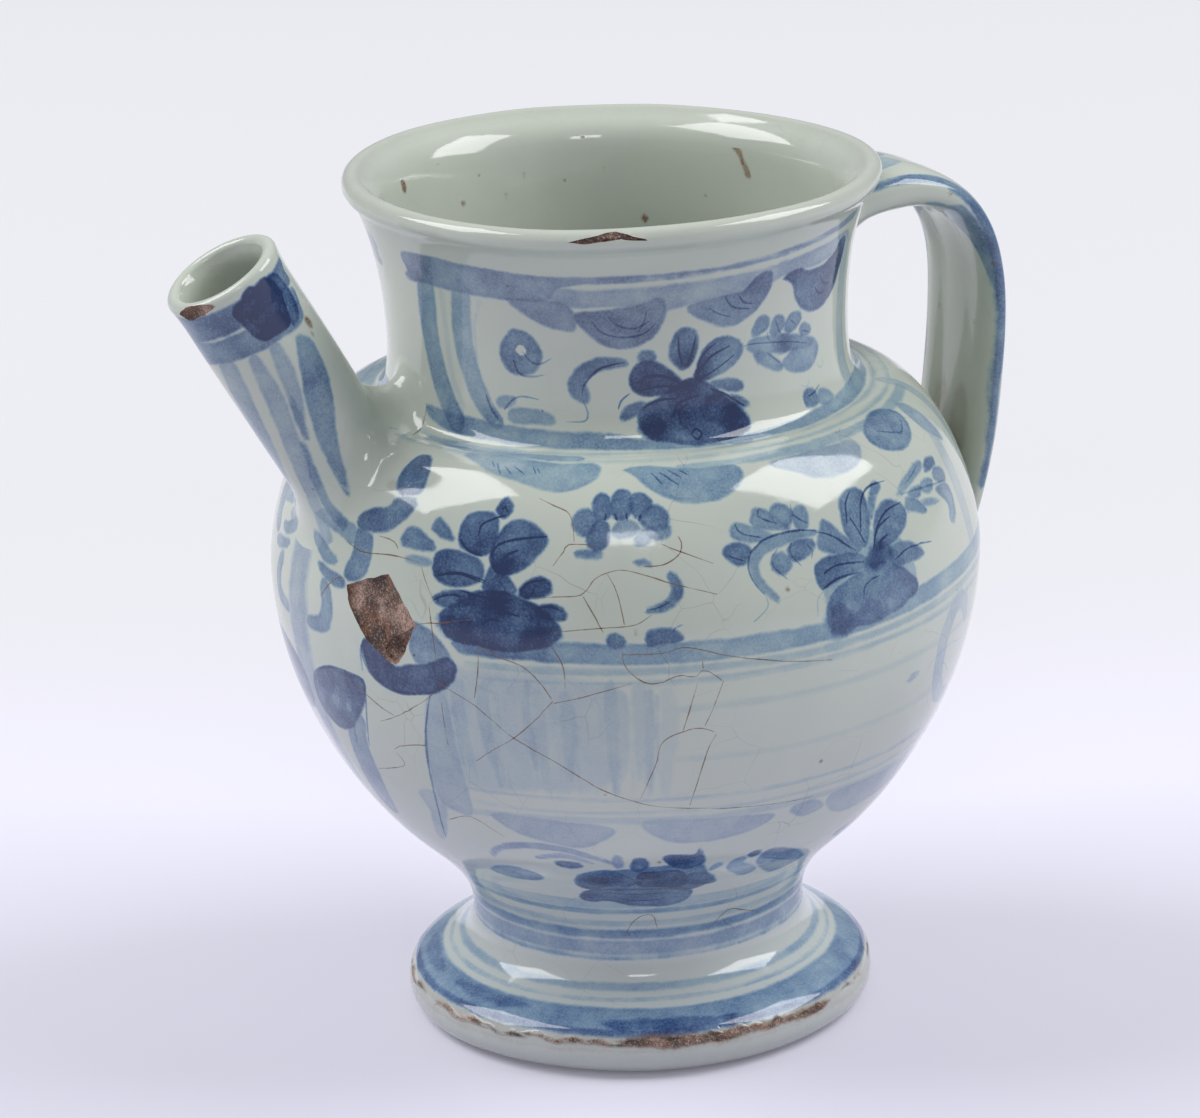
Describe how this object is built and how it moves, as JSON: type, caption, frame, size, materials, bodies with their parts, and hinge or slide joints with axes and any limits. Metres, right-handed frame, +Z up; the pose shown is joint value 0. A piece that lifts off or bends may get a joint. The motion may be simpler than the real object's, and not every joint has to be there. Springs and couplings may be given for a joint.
{
  "type": "wet drug jar",
  "caption": "Footed globular jar with a wide everted neck, a slanting tubular spout and a strap handle, for keeping and pouring syrups.",
  "frame": {"origin": "centre of the foot's standing ring, on the table", "axes": "+Z up along the jar's axis, -X towards the spout, +X towards the handle, +Y across"},
  "size_m": [0.1993, 0.1624, 0.2],
  "materials": {
    "foot_glaze": "glossy tin glaze with blue bands, worn bare at the edge",
    "body_glaze": "glossy grey-white tin glaze with fine crackle, painted in cobalt blue",
    "neck_glaze": "glossy grey-white tin glaze painted in cobalt blue",
    "spout_glaze": "glossy grey-white tin glaze with blue stripes and a blue band",
    "handle_glaze": "glossy grey-white tin glaze edged in cobalt blue"
  },
  "bodies": {
    "root": {"foot": "foot_glaze", "body": "body_glaze", "neck": "neck_glaze", "spout": "spout_glaze", "handle": "handle_glaze"}
  },
  "joints": []
}
